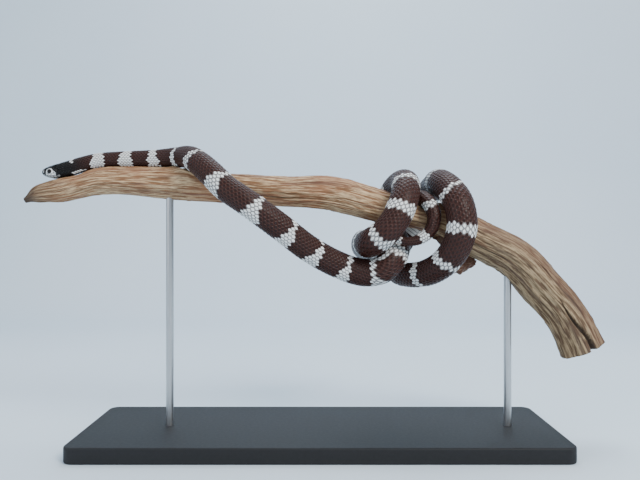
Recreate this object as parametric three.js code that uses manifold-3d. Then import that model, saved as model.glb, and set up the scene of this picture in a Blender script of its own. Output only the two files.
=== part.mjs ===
// California kingsnake, life size, coiled over a cut length of driftwood on a plain display stand.
// Millimetres, +Z up. The base stands on Z = 0, the head points to -X and the viewer stands at -Y.
import * as THREE from "three";
import { mergeVertices } from "three/addons/utils/BufferGeometryUtils.js";
import Module from "manifold-3d";

const wasm = await Module();
wasm.setup();

const GAP = 0.3;
const model = new THREE.Group();

// Finishes
const brownScales = new THREE.MeshStandardMaterial({ color: 0x3a2a26, roughness: 0.38, metalness: 0 });
const darkHead = new THREE.MeshStandardMaterial({ color: 0x201b1b, roughness: 0.32, metalness: 0 });
const eyeGloss = new THREE.MeshStandardMaterial({ color: 0x0b0a0a, roughness: 0.08, metalness: 0 });
const driftwood = new THREE.MeshStandardMaterial({ color: 0xa98c66, roughness: 0.78, metalness: 0 });
const standPaint = new THREE.MeshStandardMaterial({ color: 0x2c2d2f, roughness: 0.5, metalness: 0 });
const rodSteel = new THREE.MeshStandardMaterial({ color: 0x8d9093, roughness: 0.3, metalness: 0.9 });

// Solids: a closed loft through rings of equal count, and the way to manifold-3d and back
function closedLoft(rings) {
  const sides = rings[0].length;
  const points = rings.flat();
  const faces = [];
  for (let ring = 0; ring < rings.length - 1; ring++) {
    for (let k = 0; k < sides; k++) {
      const a = ring * sides + k;
      const b = ring * sides + ((k + 1) % sides);
      faces.push(a, b, b + sides, a, b + sides, a + sides);
    }
  }
  const middle = (ring) => ring.reduce((sum, p) => sum.add(p), new THREE.Vector3()).divideScalar(sides);
  const first = points.push(middle(rings[0])) - 1;
  const last = points.push(middle(rings[rings.length - 1])) - 1;
  const end = (rings.length - 1) * sides;
  for (let k = 0; k < sides; k++) {
    const next = (k + 1) % sides;
    faces.push(first, next, k, last, end + k, end + next);
  }
  const geometry = new THREE.BufferGeometry();
  geometry.setAttribute("position", new THREE.Float32BufferAttribute(points.flatMap((p) => [p.x, p.y, p.z]), 3));
  geometry.setIndex(faces);
  return geometry;
}

function solidOf(geometry) {
  const bare = geometry.clone();
  bare.deleteAttribute("normal");
  bare.deleteAttribute("uv");
  const merged = mergeVertices(bare, 1e-4);
  const mesh = new wasm.Mesh({
    numProp: 3,
    vertProperties: new Float32Array(merged.attributes.position.array),
    triVerts: new Uint32Array(merged.index.array),
  });
  return new wasm.Manifold(mesh);
}

function geometryOf(solid) {
  const largest = solid.decompose().sort((a, b) => b.volume() - a.volume())[0];
  const mesh = largest.getMesh();
  const geometry = new THREE.BufferGeometry();
  geometry.setAttribute("position", new THREE.Float32BufferAttribute(mesh.vertProperties, 3));
  geometry.setIndex(Array.from(mesh.triVerts));
  return geometry;
}

function addNode(name, geometry, material) {
  const mesh = new THREE.Mesh(geometry, material);
  mesh.name = name;
  model.add(mesh);
  return mesh;
}

// Route of the backbone, snout to tail tip: along the wood, over its front edge, down in a free
// hanging curve, then three turns round the wood, each over the top and down the front
const ROUTE = [
  [-221.4, -1, 213.6], [-214.5, -1, 213.9], [-207.5, -0.5, 214.8], [-201, 0, 216.4], [-192, 2, 219.6],
  [-178, 4, 223.2], [-153, 5, 224.4], [-129, 4, 224.8], [-114, 0, 225.5], [-102, -12, 224],
  [-91, -27, 217], [-80, -37, 207.5], [-70, -42, 198], [-54, -44, 187], [-41, -42, 177.5],
  [-29, -38, 168.5], [-11, -30, 154.5], [1, -24, 147], [14, -19, 140.5], [26, -15.5, 136],
  [37, -14.5, 134.5], [48, -16.5, 137], [56, -13.5, 144.5], [60.5, -4, 152.5], [62, 8, 157.5],
  [60.5, 19, 164.5], [57.5, 26.5, 176], [57.5, 27, 189], [60.5, 21.5, 199], [64.5, 11, 204.5],
  [67, 0, 205.5], [67, -12, 203], [65.5, -23.5, 196], [62, -30.5, 186.5], [56.5, -34, 175.5],
  [49, -34.5, 166], [41, -29.5, 159.5], [37.5, -19.5, 157.3], [36.5, -7, 157.8], [36.5, 7, 156.5],
  [38, 22, 154.5], [44, 38, 156.5], [56, 51.5, 165], [69, 57, 177], [82, 55, 189.5],
  [93, 44.5, 199.5], [97.5, 30, 205.5], [97.5, 14.5, 206.5], [98.5, 0.5, 204], [102, -14, 197.5],
  [105.5, -26, 186.5], [107, -29.5, 171], [104, -27, 157], [98, -21.5, 146], [90.5, -13.5, 138.5],
  [82, -3.5, 134], [73, 6.5, 132.5], [65.5, 17.5, 133.5], [63, 29, 140.5], [67.5, 37, 151.5],
  [76, 39, 164], [84, 35.5, 176], [86.5, 27, 185.5], [84.5, 15, 190.5], [82, 3, 193],
  [82, -9, 191.5], [85, -17.5, 187], [87.5, -21.5, 179], [86, -22.5, 170], [81, -22.5, 163.5],
  [73.5, -22.5, 159.5], [65.5, -22.5, 159], [58, -21.5, 161], [51.5, -19.5, 165], [47, -18.5, 171],
];
const backbone = new THREE.CatmullRomCurve3(ROUTE.map((p) => new THREE.Vector3(...p)), false, "centripetal");
backbone.arcLengthDivisions = 3000;
const LENGTH = backbone.getLength();
const HEAD_LENGTH = 21;
const VENT = 890;

// Half width of the body, by distance from the snout
const GIRTH = [
  [0, 6.9], [46, 6.9], [81, 7.8], [111, 8.9], [131, 9.8], [161, 10.5], [221, 10.9], [351, 11.1], [521, 11.2],
  [661, 11.6], [741, 12.1], [801, 11.6], [851, 9.8], [886, 8], [921, 7], [950, 6.4], [975, 5.4],
  [994, 3.8], [1010, 2.4], [LENGTH, 0.9],
];

// Direction of the back, by distance from the snout: up along the wood, then away from it round each turn
const BACK = [
  [0, [0, 0, 1]], [100, [0, 0, 1]], [128, [0.3, -0.5, 0.8]], [166, [0.62, -0.35, 0.7]], [216, [0.6, -0.35, 0.7]],
  [256, [0.5, -0.45, 0.72]], [287, [0.4, -0.6, 0.7]], [311, [0.35, -0.85, 0.4]], [334, [0.7, -0.7, 0]],
  [360, [0.8, 0.1, -0.6]], [388, [-0.1, 0.95, -0.2]], [425, [0, 0.35, 0.93]], [449, [0.1, -0.5, 0.85]],
  [475, [0, -0.97, 0.25]], [501, [-0.5, -0.8, 0.25]], [523, [-0.75, -0.3, -0.5]], [552, [-0.3, 0, -0.95]],
  [586, [-0.5, 0.5, -0.6]], [608, [-0.2, 0.9, -0.3]], [645, [0, 0.95, 0.3]], [680, [0, 0.6, 0.8]],
  [708, [0, 0, 1]], [724, [0.2, -0.6, 0.75]], [756, [0.6, -0.8, 0]], [800, [0.45, -0.6, -0.65]],
  [828, [0.3, -0.5, -0.8]], [850, [0.2, 0.8, -0.55]], [880, [0.3, 0.95, 0]], [908, [0, 0.6, 0.8]],
  [935, [0, 0, 1]], [958, [0.3, -0.8, 0.5]], [980, [0.2, -1, 0]], [LENGTH, [0, -1, 0.1]],
];
const BODY_TOP = 1;
const BODY_BELLY = 0.86;

// Head outline, by distance from the snout: half width, height above the axis, depth below it
const HEAD = [
  [0, 1.0, 0.8, 0.7], [0.4, 2.2, 1.8, 1.5], [1.3, 3.4, 2.8, 2.3], [3.2, 4.6, 3.9, 3.3], [6, 5.6, 4.9, 4.3],
  [9, 6.4, 5.6, 5.1], [12.5, 7.1, 6.2, 5.6], [16.5, 7.3, 6.7, 5.9], [HEAD_LENGTH, 6.9, 6.9, 5.93],
];

function between(table, s) {
  const last = table.length - 1;
  if (s <= table[0][0]) return [table[0], table[0], 0];
  for (let i = 0; i < last; i++) {
    if (s <= table[i + 1][0]) return [table[i], table[i + 1], (s - table[i][0]) / (table[i + 1][0] - table[i][0])];
  }
  return [table[last], table[last], 0];
}

function frameAt(s) {
  const along = THREE.MathUtils.clamp(s / LENGTH, 0, 1);
  const tangent = backbone.getTangentAt(along);
  const [a, b, t] = between(BACK, s);
  const back = new THREE.Vector3(...a[1]).normalize().lerp(new THREE.Vector3(...b[1]).normalize(), t);
  const up = back.addScaledVector(tangent, -back.dot(tangent)).normalize();
  const side = new THREE.Vector3().crossVectors(tangent, up);
  return { centre: backbone.getPointAt(along), tangent, up, side };
}

function sectionRing(s, sides, halfWidth, top, belly, squareness = 1) {
  const { centre, up, side } = frameAt(s);
  const ring = [];
  for (let k = 0; k < sides; k++) {
    const angle = (k / sides) * 2 * Math.PI;
    const across = Math.sign(Math.sin(angle)) * Math.abs(Math.sin(angle)) ** squareness;
    const rise = Math.sign(Math.cos(angle)) * Math.abs(Math.cos(angle)) ** squareness;
    ring.push(
      centre.clone().addScaledVector(side, halfWidth * across).addScaledVector(up, rise * (rise > 0 ? top : belly))
    );
  }
  return ring;
}

function bodyRing(s, extra = 0) {
  const sides = 18;
  const [a, b, t] = between(GIRTH, s);
  const half = a[1] + (b[1] - a[1]) * t;
  return sectionRing(s, sides, half + extra, half * BODY_TOP + extra, half * BODY_BELLY + extra);
}

function bodyLoft(from, to, extra = 0) {
  const step = 4.6;
  const count = Math.max(2, Math.ceil((to - from) / step));
  const rings = [];
  for (let i = 0; i <= count; i++) rings.push(bodyRing(from + ((to - from) * i) / count, extra));
  return closedLoft(rings);
}

// Head, lower jaw and eyes: one lofted head, parted along the mouth
function headRing(s) {
  const sides = 30;
  const [a, b, t] = between(HEAD, s);
  const [half, top, below] = [1, 2, 3].map((i) => a[i] + (b[i] - a[i]) * t);
  return sectionRing(s, sides, half, top, below, 0.88);
}

function sideProfile(outline, width) {
  const shape = new THREE.Shape(outline.map(([x, z]) => new THREE.Vector2(x, z)));
  const slab = new THREE.ExtrudeGeometry(shape, { depth: width, bevelEnabled: false });
  return slab.rotateX(Math.PI / 2).translate(0, width / 2, 0);
}

function jawOutline(grow) {
  const mouth = [[-224, 212.6], [-219.5, 212.1], [-214.5, 211.2], [-209.5, 211], [-206.2, 211.9]];
  const line = mouth.map(([x, z]) => [x, z + grow]);
  return [...line, [-205.6 + grow, 211.9 + grow], [-203.4 + grow, 205], [-224, 205]];
}

function buildHead() {
  const rings = [0, 0.4, 1.3, 2.2, 3.2, 4.6, 6, 7.5, 9, 10.7, 12.5, 14.5, 16.5, 18.7, HEAD_LENGTH - GAP / 2];
  const whole = solidOf(closedLoft(rings.map(headRing)));
  const headWidth = 30;
  const jaw = whole.intersect(solidOf(sideProfile(jawOutline(0), headWidth)));
  let skull = whole.subtract(solidOf(sideProfile(jawOutline(GAP), headWidth)));

  const eye = { along: 7.4, radius: 1.9, outward: 4.75, rise: 0.1 };
  const nostril = { along: 1.9, radius: 0.45, outward: 3.75, rise: 0.7 };
  for (const [name, hand] of [["eye_left", 1], ["eye_right", -1]]) {
    const place = frameAt(eye.along);
    const at = place.centre.clone().addScaledVector(place.side, hand * eye.outward).addScaledVector(place.up, eye.rise);
    const ball = new THREE.SphereGeometry(eye.radius, 20, 12).translate(at.x, at.y, at.z);
    const socket = new THREE.SphereGeometry(eye.radius + GAP, 16, 10).translate(at.x, at.y, at.z);
    skull = skull.subtract(solidOf(socket));
    addNode(name, ball, eyeGloss);

    const nose = frameAt(nostril.along);
    const pit = nose.centre.clone().addScaledVector(nose.side, hand * nostril.outward);
    pit.addScaledVector(nose.up, nostril.rise);
    const hole = new THREE.SphereGeometry(nostril.radius, 8, 6).translate(pit.x, pit.y, pit.z);
    skull = skull.subtract(solidOf(hole));
  }
  addNode("head", geometryOf(skull), darkHead);
  addNode("jaw_lower", geometryOf(jaw), darkHead);
}

// Neck, body and tail: lengths that meet end to end along the route
function buildBody() {
  const neckEnd = 81;
  const bodyCount = 18;
  const tailMiddle = 960;
  const cuts = [["neck", HEAD_LENGTH, neckEnd]];
  for (let i = 0; i < bodyCount; i++) {
    const from = neckEnd + ((VENT - neckEnd) * i) / bodyCount;
    const to = neckEnd + ((VENT - neckEnd) * (i + 1)) / bodyCount;
    cuts.push([`body_${String(i + 1).padStart(2, "0")}`, from, to]);
  }
  cuts.push(["tail_base", VENT, tailMiddle], ["tail_tip", tailMiddle, LENGTH + GAP / 2]);
  for (const [name, from, to] of cuts) addNode(name, bodyLoft(from + GAP / 2, to - GAP / 2), brownScales);
}

// Driftwood perch: centre line in the XZ plane with half height and half depth at each station
const WOOD = [
  [-236, 191.6, 1.6, 1.6], [-225.6, 196, 6.4, 6.6], [-206.4, 198.3, 7.8, 8.6], [-184, 204.4, 9.2, 10.2],
  [-170.4, 206.4, 9.8, 11], [-150.4, 206.2, 10.5, 12], [-128, 204.8, 11.2, 12.5], [-105.6, 203.4, 11.4, 13],
  [-63, 201, 11.9, 13.5], [-30.4, 198.6, 12, 13.5], [2.4, 197.6, 13.4, 14], [20, 194.8, 14, 14.5],
  [36.8, 190.4, 13.8, 15], [51, 186.4, 13.2, 15], [66.4, 182.6, 12, 15], [80.8, 179.4, 11.6, 14.8],
  [96, 175.6, 13.4, 14.8], [110.4, 169.6, 15, 15], [124, 161.6, 15.4, 15], [138.4, 154.8, 15.4, 15.5],
  [151.2, 148, 15.8, 16], [163.2, 138.4, 16.5, 16.5], [176, 124, 16.8, 17], [192, 106.4, 16.5, 17],
  [201.6, 91.2, 17, 17], [210, 73, 18, 17],
];
const woodSpine = new THREE.CatmullRomCurve3(WOOD.map(([x, z]) => new THREE.Vector3(x, 0, z)), false, "centripetal");
const woodSize = new THREE.CatmullRomCurve3(WOOD.map((w) => new THREE.Vector3(w[2], w[3], 0)), false, "catmullrom");

function woodRing(t) {
  const sides = 22;
  const centre = woodSpine.getPoint(t);
  const tangent = woodSpine.getTangent(t);
  const up = new THREE.Vector3(-tangent.z, 0, tangent.x);
  const side = new THREE.Vector3().crossVectors(tangent, up);
  const size = woodSize.getPoint(t);
  const ring = [];
  for (let k = 0; k < sides; k++) {
    const angle = (k / sides) * 2 * Math.PI;
    const flute = 1 + 0.025 * Math.sin(3 * angle + 0.02 * centre.x) + 0.015 * Math.sin(5 * angle - 0.035 * centre.x);
    ring.push(
      centre
        .clone()
        .addScaledVector(side, size.y * flute * Math.sin(angle))
        .addScaledVector(up, size.x * flute * Math.cos(angle))
    );
  }
  return ring;
}

function taperedLimb(points, radii, sides) {
  const line = new THREE.CatmullRomCurve3(points.map((p) => new THREE.Vector3(...p)));
  const rings = [];
  const count = radii.length - 1;
  for (let i = 0; i <= count; i++) {
    const centre = line.getPoint(i / count);
    const tangent = line.getTangent(i / count);
    const side = new THREE.Vector3().crossVectors(tangent, new THREE.Vector3(0, 0, 1)).normalize();
    const up = new THREE.Vector3().crossVectors(side, tangent);
    const ring = [];
    for (let k = 0; k < sides; k++) {
      const angle = (k / sides) * 2 * Math.PI;
      const out = side.clone().multiplyScalar(Math.sin(angle)).addScaledVector(up, Math.cos(angle));
      ring.push(centre.clone().addScaledVector(out, radii[i]));
    }
    rings.push(ring);
  }
  return closedLoft(rings);
}

// Display stand: a flat base and two rods that enter the wood from below
const BASE = { width: 370, depth: 120, thick: 12, corner: 8 };
const ROD = { radius: 3, sunk: 8, grip: 8 };
const RODS = [
  { name: "stand_rod_left", x: -120, top: 201 },
  { name: "stand_rod_right", x: 150, top: 142 },
];

function rodCylinder(x, from, to, radius) {
  const sides = 28;
  const rod = new THREE.CylinderGeometry(radius, radius, to - from, sides);
  return rod.rotateX(Math.PI / 2).translate(x, 0, (from + to) / 2);
}

function buildPerch() {
  const ringCount = 64;
  const rings = [];
  for (let i = 0; i <= ringCount; i++) rings.push(woodRing(i / ringCount));
  let wood = solidOf(closedLoft(rings));
  const stub = taperedLimb([[96, 2, 166], [106, 7, 156], [116, 9, 147], [125, 9, 140]], [8, 6.4, 5.6, 5.2, 4.4], 12);
  wood = wood.add(solidOf(stub));

  const split = new THREE.CylinderGeometry(0.1, 5.5, 44, 3).rotateX(Math.PI / 2);
  split.applyMatrix4(new THREE.Matrix4().makeRotationY(THREE.MathUtils.degToRad(-28)));
  wood = wood.subtract(solidOf(split.translate(195, -16.5, 82)));

  for (const rod of RODS) {
    wood = wood.subtract(solidOf(rodCylinder(rod.x, 0, rod.top + GAP, ROD.radius + GAP)));
  }
  const pressed = [[24, 130], [410, 480], [690, 770], [895, 985]];
  for (const [from, to] of pressed) wood = wood.subtract(solidOf(bodyLoft(from, to, GAP)));
  addNode("perch_branch", geometryOf(wood), driftwood);
}

function buildStand() {
  const { width, depth, thick, corner } = BASE;
  const [x, y] = [width / 2, depth / 2];
  const outline = new THREE.Shape();
  outline.moveTo(-x + corner, -y);
  outline.lineTo(x - corner, -y).absarc(x - corner, -y + corner, corner, -Math.PI / 2, 0);
  outline.lineTo(x, y - corner).absarc(x - corner, y - corner, corner, 0, Math.PI / 2);
  outline.lineTo(-x + corner, y).absarc(-x + corner, y - corner, corner, Math.PI / 2, Math.PI);
  outline.lineTo(-x, -y + corner).absarc(-x + corner, -y + corner, corner, Math.PI, 1.5 * Math.PI);
  const edge = 1.2;
  const plate = new THREE.ExtrudeGeometry(outline, {
    depth: thick - 2 * edge,
    bevelThickness: edge,
    bevelSize: edge,
    bevelOffset: -edge,
    bevelSegments: 2,
    curveSegments: 6,
  });
  let base = solidOf(plate.translate(0, 0, edge));
  for (const rod of RODS) {
    const foot = thick - ROD.sunk;
    base = base.subtract(solidOf(rodCylinder(rod.x, foot, thick + 1, ROD.radius + GAP)));
    addNode(rod.name, rodCylinder(rod.x, foot + GAP, rod.top, ROD.radius), rodSteel);
  }
  addNode("stand_base", geometryOf(base), standPaint);
}

buildHead();
buildBody();
buildPerch();
buildStand();

export default model;
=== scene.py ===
"""A life-size museum model of a banded California kingsnake on a driftwood perch.

Metres, +Z up. The head points to -X and the photo was taken from -Y.
"""
import math

import bpy
import numpy as np
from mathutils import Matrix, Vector


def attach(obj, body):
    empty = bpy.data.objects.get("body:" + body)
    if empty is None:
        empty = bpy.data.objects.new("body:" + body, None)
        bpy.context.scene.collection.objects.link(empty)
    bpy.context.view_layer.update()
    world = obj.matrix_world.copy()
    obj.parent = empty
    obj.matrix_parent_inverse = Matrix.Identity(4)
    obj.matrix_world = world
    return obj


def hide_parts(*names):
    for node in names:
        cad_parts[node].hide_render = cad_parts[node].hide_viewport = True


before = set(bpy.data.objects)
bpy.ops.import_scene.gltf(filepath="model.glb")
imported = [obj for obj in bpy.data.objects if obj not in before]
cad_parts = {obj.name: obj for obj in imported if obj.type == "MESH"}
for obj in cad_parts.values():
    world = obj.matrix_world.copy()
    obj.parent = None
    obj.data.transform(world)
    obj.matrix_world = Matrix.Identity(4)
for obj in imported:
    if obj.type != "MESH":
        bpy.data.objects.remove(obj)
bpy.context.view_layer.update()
MM = 0.001


# Camera, floor, wall and light
# The photo was taken level, from about half a metre, against a pale blue-grey wall in soft daylight
# from the upper right. The floor runs up into the wall in one sweep.
PHOTO_DISTANCE = 0.534
PHOTO_HEIGHT = 0.160
LENS = 37.55


def new_object(name, data):
    made = bpy.data.objects.new(name, data)
    bpy.context.scene.collection.objects.link(made)
    return made


camera = new_object("camera", bpy.data.cameras.new("camera"))
camera.data.lens = LENS
camera.data.sensor_width = 36.0
camera.data.clip_start = 0.01
camera.location = (0, -PHOTO_DISTANCE, PHOTO_HEIGHT)
camera.rotation_euler = (math.radians(90), 0, 0)
bpy.context.scene.camera = camera


class Wire:
    """A shader socket that takes part in arithmetic. Without a socket it only starts new nodes."""

    def __init__(self, tree, socket=None):
        self.tree = tree
        self.socket = socket

    def node(self, kind, ins=(), out=0, **settings):
        """Adds a node with these settings. ins maps socket names or numbers to values or wires."""
        made = self.tree.nodes.new(kind)
        for key, value in settings.items():
            setattr(made, key, value)
        feed(made, ins)
        return Wire(self.tree, made.outputs[out])

    def math(self, operation, other=0.0, swap=False, clamp=False):
        first, second = (other, self) if swap else (self, other)
        return self.node("ShaderNodeMath", {0: first, 1: second}, operation=operation, use_clamp=clamp)

    def __add__(self, other):
        return self.math("ADD", other)

    def __radd__(self, other):
        return self.math("ADD", other)

    def __sub__(self, other):
        return self.math("SUBTRACT", other)

    def __rsub__(self, other):
        return self.math("SUBTRACT", other, swap=True)

    def __mul__(self, other):
        return self.math("MULTIPLY", other)

    def __rmul__(self, other):
        return self.math("MULTIPLY", other)

    def clipped(self):
        return self.math("MULTIPLY", 1.0, clamp=True)

    def step(self, low, high):
        """0 below low, 1 above high, smooth between."""
        ins = {"Value": self, "From Min": low, "From Max": high}
        return self.node("ShaderNodeMapRange", ins, interpolation_type="SMOOTHSTEP")

    def mix(self, low, high):
        """The colour low where this is 0 and high where it is 1."""
        return self.node("ShaderNodeMix", {0: self, 6: low, 7: high}, out=2, data_type="RGBA")

    def attribute(self, name):
        return self.node("ShaderNodeAttribute", out="Fac", attribute_name=name)

    def place(self):
        return self.node("ShaderNodeTexCoord", out="Object")

    def scaled(self, by):
        """This vector times by, part by part."""
        return self.node("ShaderNodeVectorMath", {0: self, 1: by}, operation="MULTIPLY")

    def noise(self, scale, detail=3.0):
        """Noise read at this vector."""
        ins = {"Vector": self, "Scale": scale, "Detail": detail}
        return self.node("ShaderNodeTexNoise", ins, out="Fac")


def colour(red, green, blue):
    return (red, green, blue, 1.0)


def new_material(name):
    """A material, a wire that starts its nodes, and its principled shader."""
    made = bpy.data.materials.new(name)
    made.use_nodes = True
    return made, Wire(made.node_tree), made.node_tree.nodes["Principled BSDF"]


def feed(node, ins):
    """Gives a node's inputs, by name or number, their values or wires."""
    for key, value in dict(ins).items():
        if isinstance(value, Wire):
            value.tree.links.new(value.socket, node.inputs[key])
        else:
            node.inputs[key].default_value = value


def bumped(height, strength, distance):
    """A wire for a shader's Normal from a wire of heights."""
    return height.node("ShaderNodeBump", {"Height": height, "Strength": strength, "Distance": distance})


def mesh_object(name, points, faces, material, uv=None, marks=()):
    """A smooth mesh. faces is a list of index arrays with one row a face.

    uv has one pair for each face corner, and each mark has one value or vector for each point.
    """
    mesh = bpy.data.meshes.new(name)
    mesh.vertices.add(len(points))
    mesh.vertices.foreach_set("co", np.asarray(points, dtype=np.float32).ravel())
    corners = np.concatenate([f.ravel() for f in faces])
    sizes = np.concatenate([np.full(len(f), f.shape[1]) for f in faces])
    mesh.loops.add(len(corners))
    mesh.loops.foreach_set("vertex_index", corners.astype(np.int32))
    mesh.polygons.add(len(sizes))
    starts = np.concatenate([[0], np.cumsum(sizes)[:-1]])
    mesh.polygons.foreach_set("loop_start", starts.astype(np.int32))
    mesh.update(calc_edges=True)
    mesh.polygons.foreach_set("use_smooth", np.ones(len(sizes), dtype=bool))
    if uv is not None:
        layer = mesh.uv_layers.new(name="OFBake")
        layer.data.foreach_set("uv", np.asarray(uv, dtype=np.float32).ravel())
    for key, values in dict(marks).items():
        kind, field = ("FLOAT_VECTOR", "vector") if values.ndim == 2 else ("FLOAT", "value")
        mark = mesh.attributes.new(key, kind, "POINT")
        mark.data.foreach_set(field, values.astype(np.float32).ravel())
    mesh.materials.append(material)
    return new_object(name, mesh)


def grid_faces(rows, columns):
    """Quads of a grid of points, rows by columns, facing the way of columns x rows."""
    first = (np.arange(rows - 1)[:, None] * columns + np.arange(columns - 1)[None, :]).ravel()
    return np.stack([first, first + 1, first + columns + 1, first + columns], axis=1)


def build_room():
    sweep, start, shader = new_material("sweep")
    where = start.place()
    cloud = where.noise(2.2)
    tint = cloud.mix(colour(0.62, 0.75, 0.86), colour(0.74, 0.84, 0.92))
    feed(shader, {"Base Color": tint, "Roughness": 0.9})
    # In metres: the floor's near edge, where it starts to bend, the wall's height, the bend's radius
    near, far, wall, bend = -2.2, 0.75, 2.2, 0.35
    outline = [(near, 0.0)]
    for turn in np.linspace(0, math.pi / 2, 24):
        outline.append((far + bend * math.sin(turn), bend * (1 - math.cos(turn))))
    outline.append((far + bend, wall))
    across = np.linspace(-3, 3, 7)
    points = np.array([[x, y, z] for y, z in outline for x in across])
    floor = mesh_object("floor_sweep", points, [grid_faces(len(outline), len(across))], sweep)

    world = bpy.data.worlds.new("daylight")
    bpy.context.scene.world = world
    world.use_nodes = True
    feed(world.node_tree.nodes["Background"], {"Color": colour(0.80, 0.88, 1.0), "Strength": 0.6})
    middle = Vector((0.02, 0, 0.17))
    # Name, place, size, power and colour of each light. All of them point at the middle of the perch
    lights = [
        ("key", (0.9, -1.1, 1.3), 0.7, 32.0, (1.0, 0.97, 0.92)),
        ("fill", (-1.3, -1.0, 0.7), 1.2, 9.0, (0.88, 0.94, 1.0)),
        ("rim", (0.1, 0.45, 1.4), 0.8, 12.0, (0.9, 0.95, 1.0)),
    ]
    for name, at, size, power, tint in lights:
        lamp = new_object("light_" + name, bpy.data.lights.new("light_" + name, "AREA"))
        lamp.data.size = size
        lamp.data.energy = power
        lamp.data.color = tint
        lamp.location = at
        lamp.rotation_euler = (middle - Vector(at)).to_track_quat("-Z", "Y").to_euler()


build_room()


# Skin of the snake
# One unbroken skin from the snout to the tip of the tail, under every scale. It is moist and dark in
# the brown lengths and greyer under the white bands, and shows between the scales where they spread.
#
# The middle of the body from the snout to the tip of the tail, in mm
ROUTE = [
    (-221.4, -1, 213.6), (-214.5, -1, 213.9), (-207.5, -0.5, 214.8), (-201, 0, 216.4), (-192, 2, 219.6),
    (-178, 4, 223.2), (-153, 5, 224.4), (-129, 4, 224.8), (-114, 0, 225.5), (-102, -12, 224),
    (-91, -27, 217), (-80, -37, 207.5), (-70, -42, 198), (-54, -44, 187), (-41, -42, 177.5),
    (-29, -38, 168.5), (-11, -30, 154.5), (1, -24, 147), (14, -19, 140.5), (26, -15.5, 136),
    (37, -14.5, 134.5), (48, -16.5, 137), (56, -13.5, 144.5), (60.5, -4, 152.5), (62, 8, 157.5),
    (60.5, 19, 164.5), (57.5, 26.5, 176), (57.5, 27, 189), (60.5, 21.5, 199), (64.5, 11, 204.5),
    (67, 0, 205.5), (67, -12, 203), (65.5, -23.5, 196), (62, -30.5, 186.5), (56.5, -34, 175.5),
    (49, -34.5, 166), (41, -29.5, 159.5), (37.5, -19.5, 157.3), (36.5, -7, 157.8), (36.5, 7, 156.5),
    (38, 22, 154.5), (44, 38, 156.5), (56, 51.5, 165), (69, 57, 177), (82, 55, 189.5),
    (93, 44.5, 199.5), (97.5, 30, 205.5), (97.5, 14.5, 206.5), (98.5, 0.5, 204), (102, -14, 197.5),
    (105.5, -26, 186.5), (107, -29.5, 171), (104, -27, 157), (98, -21.5, 146), (90.5, -13.5, 138.5),
    (82, -3.5, 134), (73, 6.5, 132.5), (65.5, 17.5, 133.5), (63, 29, 140.5), (67.5, 37, 151.5),
    (76, 39, 164), (84, 35.5, 176), (86.5, 27, 185.5), (84.5, 15, 190.5), (82, 3, 193),
    (82, -9, 191.5), (85, -17.5, 187), (87.5, -21.5, 179), (86, -22.5, 170), (81, -22.5, 163.5),
    (73.5, -22.5, 159.5), (65.5, -22.5, 159), (58, -21.5, 161), (51.5, -19.5, 165), (47, -18.5, 171),
]
# How far from the snout, and which way the back faces there
BACK = [
    (0, (0, 0, 1)), (100, (0, 0, 1)), (128, (0.3, -0.5, 0.8)), (166, (0.62, -0.35, 0.7)),
    (216, (0.6, -0.35, 0.7)), (256, (0.5, -0.45, 0.72)), (287, (0.4, -0.6, 0.7)),
    (311, (0.35, -0.85, 0.4)),
    (334, (0.7, -0.7, 0)), (360, (0.8, 0.1, -0.6)), (388, (-0.1, 0.95, -0.2)), (425, (0, 0.35, 0.93)),
    (449, (0.1, -0.5, 0.85)), (475, (0, -0.97, 0.25)), (501, (-0.5, -0.8, 0.25)),
    (523, (-0.75, -0.3, -0.5)),
    (552, (-0.3, 0, -0.95)), (586, (-0.5, 0.5, -0.6)), (608, (-0.2, 0.9, -0.3)), (645, (0, 0.95, 0.3)),
    (680, (0, 0.6, 0.8)), (708, (0, 0, 1)), (724, (0.2, -0.6, 0.75)), (756, (0.6, -0.8, 0)),
    (800, (0.45, -0.6, -0.65)), (828, (0.3, -0.5, -0.8)), (850, (0.2, 0.8, -0.55)), (880, (0.3, 0.95, 0)),
    (908, (0, 0.6, 0.8)), (935, (0, 0, 1)), (958, (0.3, -0.8, 0.5)), (980, (0.2, -1, 0)),
    (1024, (0, -1, 0.1)),
]
# How far from the snout, and half the width of the body there
GIRTH = [
    (21, 6.9), (46, 6.9), (81, 7.8), (111, 8.9), (131, 9.8), (161, 10.5), (221, 10.9), (351, 11.1),
    (521, 11.2), (661, 11.6), (741, 12.1), (801, 11.6), (851, 9.8), (886, 8), (921, 7), (950, 6.4),
    (975, 5.4), (994, 3.8), (1010, 2.4), (1022.1, 0.9),
]
# How far from the snout, then half the head's width, its height above the middle and its depth below
HEAD = [
    (0, 2.6, 2.1, 1.7), (1.3, 3.4, 2.8, 2.3), (3.2, 4.6, 3.9, 3.3), (6, 5.6, 4.9, 4.3),
    (9, 6.4, 5.6, 5.1), (12.5, 7.1, 6.2, 5.6), (16.5, 7.3, 6.7, 5.9),
]
BELLY = 0.86  # the body's depth below its middle as a part of half its width
HEAD_END = 16.2
SNOUT_ROUND = 1.3  # length of the rounded front of the snout
SQUARE = 0.88  # below 1 the head's cross-section is squarer than an ellipse


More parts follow.
